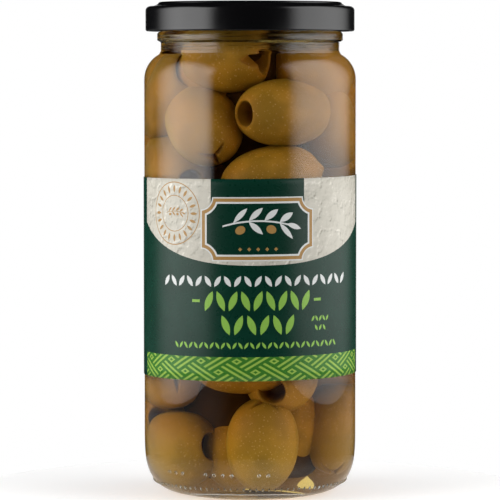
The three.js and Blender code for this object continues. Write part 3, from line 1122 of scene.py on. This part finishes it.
# %% Where the olives lie
OLIVE_GAP = 0.4
FRONT_OLIVES = [
    # azimuth, height, lean of the hole's end to the right, tip towards the glass, half length, half width,
    # distance kept from the glass, and its mark: far end torn by the pusher, far end pointed, or lip split
    (-42, 122.2, -38, -18, 14.6, 11.2, 0.5, "torn"),
    (27.5, 126.2, -91, 7, 15.2, 10.9, 0, "pointed"),
    (-25, 143, 93, 0, 13.8, 10.4, 0, "split"),
    (17.5, 104.2, -104, 0, 15.4, 11.2, 0, "pointed"),
    (72, 138.2, 88, 0, 14.5, 10.6, 1, "pointed"),
    (80, 121, 142, 0, 14.5, 10.6, 0, "pointed"),
    (-80, 129.2, 46, -12, 14.2, 10.2, 0, "pointed"),
    (-74, 107.5, 108, 0, 14, 10.6, 0, "torn"),
    (-84, 38.5, -90, -6, 14, 10.3, 0, "torn"),
    (-7.5, 46.4, 92, 0, 16, 11.4, 0, "pointed"),
    (29, 38.9, -108, 48, 13, 10.2, 1.5, "torn"),
    (10, 19.2, 180, -14, 14.8, 10.7, 0, "torn"),
    (-68, 16.8, 85, -22, 12.8, 11.3, 0, "torn"),
    (88, 23, 10, 0, 14.5, 9.9, 0, "torn"),
]
INNER_OLIVES = [
    (-22, 16, 0, 0, 10.8, 9, 12.5, "pointed"),
    (-110, 14, 90, 0, 12, 9.5, 12, "pointed"),
    (-60, 135, 60, 0, 11, 10, 8, "pointed"),
    (59, 24, 0, 0, 13, 8.5, 12.2, "pointed"),
]
BACK_ROW_Z = [18.5, 40, 106, 126, 141]
BACK_FIRST = 112
BACK_LAST = 248
BACK_PER_ROW = 3
BACK_SEED = 41
BACK_LONG = 14.2
BACK_WIDE = 10.7
SKIN_STEPS = 24
HALVINGS = 20


def seeded_numbers(seed):
    """Linear congruential numbers from 0 to 1, the same that the solids use."""
    state = seed
    while True:
        state = (1664525 * state + 1013904223) % 4294967296
        yield state / 4294967296


def back_olives():
    """Rows round the back with an even pitch and a little seeded disorder."""
    draws = seeded_numbers(BACK_SEED)

    def off(spread):
        return spread * (next(draws) - 0.5)

    olives = []
    for row_z in BACK_ROW_Z:
        for i in range(BACK_PER_ROW):
            even = BACK_FIRST + (BACK_LAST - BACK_FIRST) * i / (BACK_PER_ROW - 1)
            place = (even + off(8), row_z + off(3), 180 * next(draws), off(20))
            size = (BACK_LONG + off(1.2), BACK_WIDE + off(0.8))
            olives.append((*place, *size, 0, "torn" if i % 2 else "pointed"))
    return olives


def hole_direction(azimuth, lean, tip):
    """The way the hole's end of an olive points."""
    a, l, t = (math.radians(x) for x in (azimuth, lean, tip))
    across = Vector((math.cos(a), math.sin(a), 0))
    upright = Vector((0, 0, 1)) * math.cos(l) + across * math.sin(l)
    return upright * math.cos(t) + around(azimuth, 1, 0) * math.sin(t)


def settled(azimuth, z, direction, long, wide, back):
    """Stands an olive on the floor if it is low and slides it out until it meets the glass."""
    half_height = math.hypot(long * direction.z, wide * math.sqrt(1 - direction.z**2))
    z = max(z, FLOOR_Z + OLIVE_GAP + half_height)
    turn = Vector((0, 0, 1)).rotation_difference(direction)
    surface = []
    for i in range(1, SKIN_STEPS):
        polar = math.pi * i / SKIN_STEPS
        for k in range(SKIN_STEPS):
            spin = math.tau * k / SKIN_STEPS
            r = wide * math.sin(polar)
            surface.append(turn @ Vector((r * math.cos(spin), r * math.sin(spin), long * math.cos(polar))))
    limits = [(p, bore_radius(z + p.z) - OLIVE_GAP) for p in surface]
    near, far = 0, BORE_R
    for _ in range(HALVINGS):
        middle = (near + far) / 2
        centre = around(azimuth, middle, 0)
        if all(math.hypot(centre.x + p.x, centre.y + p.y) < limit for p, limit in limits):
            near = middle
        else:
            far = middle
    return around(azimuth, near - back, z), turn


# %% The shape of one olive
OLIVE_POWER = 2.15
OLIVE_SIDES = 72
OLIVE_RINGS = 38
HOLE_R = 4.1
HOLE_DEEP = 5.5
LIP_ROUND = 0.7
CUT_ARMS = 3
CUT_LONG = 5.2
CUT_WIDE = 0.7
CUT_DEEP = 2.2
CUT_ASIDE = 1.5
SPLIT_DEEP = 4.2
SPLIT_HALF_WIDTH = 0.42
POINT_HIGH = 1.1
POINT_R = 1.7
LIP_ANGLES = (25, 50, 75)
HOLE_ROWS = 6
HOLE_TAPER = 0.3
RING_CROWDING = 1.3
CUT_LEAST = 0.14
CURL_HIGH = 0.3
CURL_AWAY = 0.45
CURL_WIDE = 0.4
UNEVEN = 0.02
HOLE_UNEVEN = 0.12
WAVE_SIZES = (0.08, 0.3)
FACING_SPREAD = 0.2


def olive_rows(long, wide):
    """(radius, height, hollow) from the far end up, over the soft lip and down into the hole."""
    mouth_r = HOLE_R + LIP_ROUND
    lip_z = long * (1 - (mouth_r / wide) ** OLIVE_POWER) ** (1 / OLIVE_POWER)
    last_polar = math.acos(-lip_z / long)
    rows = [(0, -long, 0.0)]
    for i in range(1, OLIVE_RINGS + 1):
        z = -long * math.cos(last_polar * (i / OLIVE_RINGS) ** RING_CROWDING)
        rows.append((wide * (1 - abs(z / long) ** OLIVE_POWER) ** (1 / OLIVE_POWER), z, 0.0))
    for polar in LIP_ANGLES:
        tilt = math.radians(polar)
        r = mouth_r - LIP_ROUND * math.sin(tilt)
        rows.append((r, lip_z - LIP_ROUND * (1 - math.cos(tilt)), polar / 250))
    # hollow grows with the depth into the hole, and the finish paints the flesh darker there as shade
    for i in range(HOLE_ROWS + 1):
        share = i / HOLE_ROWS
        r = HOLE_R * (1 - HOLE_TAPER * share)
        rows.append((r, lip_z - LIP_ROUND - HOLE_DEEP * share, 0.4 + 0.6 * min(1, 1.6 * share)))
    rows.append((0, lip_z - LIP_ROUND - HOLE_DEEP, 1.0))
    return rows, lip_z


def torn(spin, r):
    """How deep the pusher's cut is, from 0 to 1, and how far its lips curl out, round the cut's middle."""
    if r > CUT_LONG:
        return 0, 0
    arm = (spin * CUT_ARMS / math.tau + 0.5) % 1 - 0.5
    aside = abs(arm) * math.tau / CUT_ARMS * r
    left = 1 - r / CUT_LONG
    width = CUT_WIDE * left + CUT_LEAST
    depth = math.exp(-((aside / width) ** 2)) * left**0.5
    curl = math.exp(-(((aside - width - CURL_AWAY) / CURL_WIDE) ** 2)) * left
    return depth, curl


def split_limit(off, lip_z):
    """The height down to which a split in the lip is open, at an angle off the split's middle."""
    return lip_z - SPLIT_DEEP * max(0, 1 - off / SPLIT_HALF_WIDTH)


def shaped(spin, row, olive):
    """A point of an olive and its hollow, from its row of the profile and its spin about the olive's axis."""
    r, height, hollow = row
    shift = height / olive["long"]
    uneven = sum(size * math.sin(n * spin + phase + shift) for phase, size, n in olive["waves"])
    grown = r * (1 - UNEVEN * abs(uneven)) - (HOLE_UNEVEN * uneven if hollow else 0)
    if olive["mark"] == "torn" and height < 0:
        aside = r * math.cos(spin - olive["facing"]) - CUT_ASIDE
        beside = r * math.sin(spin - olive["facing"])
        depth, curl = torn(math.atan2(beside, aside) - math.pi / CUT_ARMS, math.hypot(aside, beside))
        height += CUT_DEEP * depth - CURL_HIGH * curl
        # a deeper cut gets a larger hollow, which the finish paints darker as shade
        hollow = max(hollow, depth)
    if olive["mark"] == "pointed" and height < 0:
        height -= POINT_HIGH * math.exp(-((r / POINT_R) ** 2))
    if olive["mark"] == "split":
        off = abs((spin - olive["facing"] + math.pi) % math.tau - math.pi)
        limit = split_limit(off, olive["lip_z"])
        if height > limit:
            height = limit
            hollow = max(hollow, 0.5)
    return Vector((grown * math.cos(spin), grown * math.sin(spin), height)), hollow


def add_olive(heap, spec, draw):
    """Adds one olive's points, faces and tones to a heap."""
    azimuth, z, lean, tip, long, wide, back, mark = spec
    centre, turn = settled(azimuth, z, hole_direction(azimuth, lean, tip), long, wide, back)
    viewer = turn.inverted() @ Vector((0, -1, 0))
    rows, lip_z = olive_rows(long, wide)
    olive = {
        "long": long,
        "lip_z": lip_z,
        "mark": mark,
        "waves": [(draw.uniform(0, math.tau), draw.uniform(*WAVE_SIZES), n) for n in (1, 2, 3)],
        "facing": math.atan2(viewer.y, viewer.x) + draw.uniform(-FACING_SPREAD, FACING_SPREAD),
    }
    tone = draw.random()
    rings = []
    for row in rows:
        count = OLIVE_SIDES if row[0] else 1
        first = len(heap["points"])
        rings.append([first + k % count for k in range(OLIVE_SIDES)])
        for k in range(count):
            point, hollow = shaped(math.tau * k / OLIVE_SIDES, row, olive)
            heap["points"].append(centre + turn @ point)
            heap["hollow"].append(hollow)
            heap["tone"].append(tone)
    heap["faces"] += faces_between(rings)


# %% The olives' finish
SKIN_KHAKI = paint(142, 116, 41)
SKIN_DEEP = paint(119, 98, 30)
SKIN_PALE = paint(155, 127, 52)
PORE_COLOUR = paint(212, 190, 138)
# The cut flesh's own colour, and a darker one that paints the shade deep in the hole and the cut
FLESH = paint(120, 92, 30)
FLESH_PAINTED_SHADE = paint(84, 54, 20)
SKIN_PATCH_SCALE = 110
PORE_SCALE = 960
PORE_EDGE = (0.1, 0.3)
PORE_CHOICE_SCALE = 1300
PORE_CHOICE = 0.42
PORE_SHARE = 0.32
DIMPLE_SCALE = 260
SKIN_RELIEF = 0.12


def olive_finish():
    """Khaki olive skin: soft patches, pale pores, brown flesh where it is cut, and painted shade that darkens
    that flesh deeper in the hole and the cut.
    """
    material, tree, shader = new_material("olive_skin", {"Specular IOR Level": 0.15})
    place = object_place(tree)
    hollow = stored(tree, "hollow")
    patches = noise(place, SKIN_PATCH_SCALE, 3)
    cells = node(tree, "ShaderNodeTexVoronoi", {"Vector": place, "Scale": PORE_SCALE}, "Distance")
    pores = (1 - cells.step(*PORE_EDGE)) * (noise(place, PORE_CHOICE_SCALE, 0) > PORE_CHOICE)
    colour = SKIN_KHAKI
    for laid, share in (
        (SKIN_DEEP, patches.step(0.35, 0.65)),
        (SKIN_PALE, stored(tree, "tone") * 0.5),
        (PORE_COLOUR, pores * PORE_SHARE),
        (FLESH, hollow.step(0, 0.5)),
        # painted shade: the flesh darkens deeper into the hole and the cut
        (FLESH_PAINTED_SHADE, hollow.step(0.45, 1)),
    ):
        colour = layer(colour, laid, share)
    fill(shader, {"Base Color": colour, "Roughness": patches * 0.15 + 0.42})
    relief(shader, noise(place, DIMPLE_SCALE) + pores * 0.3, SKIN_RELIEF)
    return material


# %% The heap
OLIVE_SEED = 7
olive_skin = olive_finish()


def heap_piece(name, specs, draw):
    """One mesh of several olives, with each point's tone and hollow stored on it."""
    heap = {"points": [], "faces": [], "tone": [], "hollow": []}
    for spec in specs:
        add_olive(heap, spec, draw)
    piece = make_piece(name, heap["points"], heap["faces"], olive_skin)
    for key in ("tone", "hollow"):
        attribute = piece.data.attributes.new(key, "FLOAT", "POINT")
        attribute.data.foreach_set("value", heap[key])
    report(piece)
    return piece


draw = random.Random(OLIVE_SEED)
olives_front = heap_piece("olives_front", FRONT_OLIVES, draw)
olives_back = heap_piece("olives_back", back_olives(), draw)
olives_inner = heap_piece("olives_inner", INNER_OLIVES, draw)

# %% [markdown]
# The dark middle of the heap
#
# Between the outer olives one looks into the shade of the heap. A plain core, smaller than the one in
# the solids, closes the view there, and a few more olives lie between it and the outer ones.

# %% The core
CORE_R = 17
CORE_ROUND = 5
CORE_LOW_Z = 8
CORE_TOP_Z = 146
CORE_SIDES = 64
SHADE = paint(36, 22, 8)
SHADE_MOTTLE = paint(56, 36, 14)
SHADE_SCALE = 90


def core_finish():
    """The deep shade of packed olives, mottled a little."""
    material, tree, shader = new_material("heap_shade", {"Roughness": 0.7, "Specular IOR Level": 0.1})
    fill(shader, {"Base Color": layer(SHADE, SHADE_MOTTLE, noise(object_place(tree), SHADE_SCALE))})
    return material


def core_profile():
    """An upright drum with round corners."""
    inset = CORE_R - CORE_ROUND
    foot = arc(inset, CORE_LOW_Z + CORE_ROUND, CORE_ROUND, -90, 0, 6)
    head = arc(inset, CORE_TOP_Z - CORE_ROUND, CORE_ROUND, 0, 90, 6)
    return [(0, CORE_LOW_Z)] + foot + head + [(0, CORE_TOP_Z)]


core = make_piece("heap_core", *turned(core_profile(), CORE_SIDES), core_finish())
report(core)

# %% [markdown]
# Which piece stands for which solid
#
# Every piece rides on the one body of this object, and each replaces the solid that it stands for.

# %% Riding and replacing
for piece, node_name, slot_name in (
    (glass, "jar", "glass"),
    (lid, "lid", "lid"),
    (label, "label", "label"),
    (olives_front, "olives", "olives"),
    (olives_back, "olives", "olives"),
    (olives_inner, "olives", "olives"),
    (core, "olives", "olives"),
    *((piece, "jar", "glass") for piece in heel_bumps),
):
    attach(piece, "root")
    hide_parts(node_name)
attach(brine, "root")
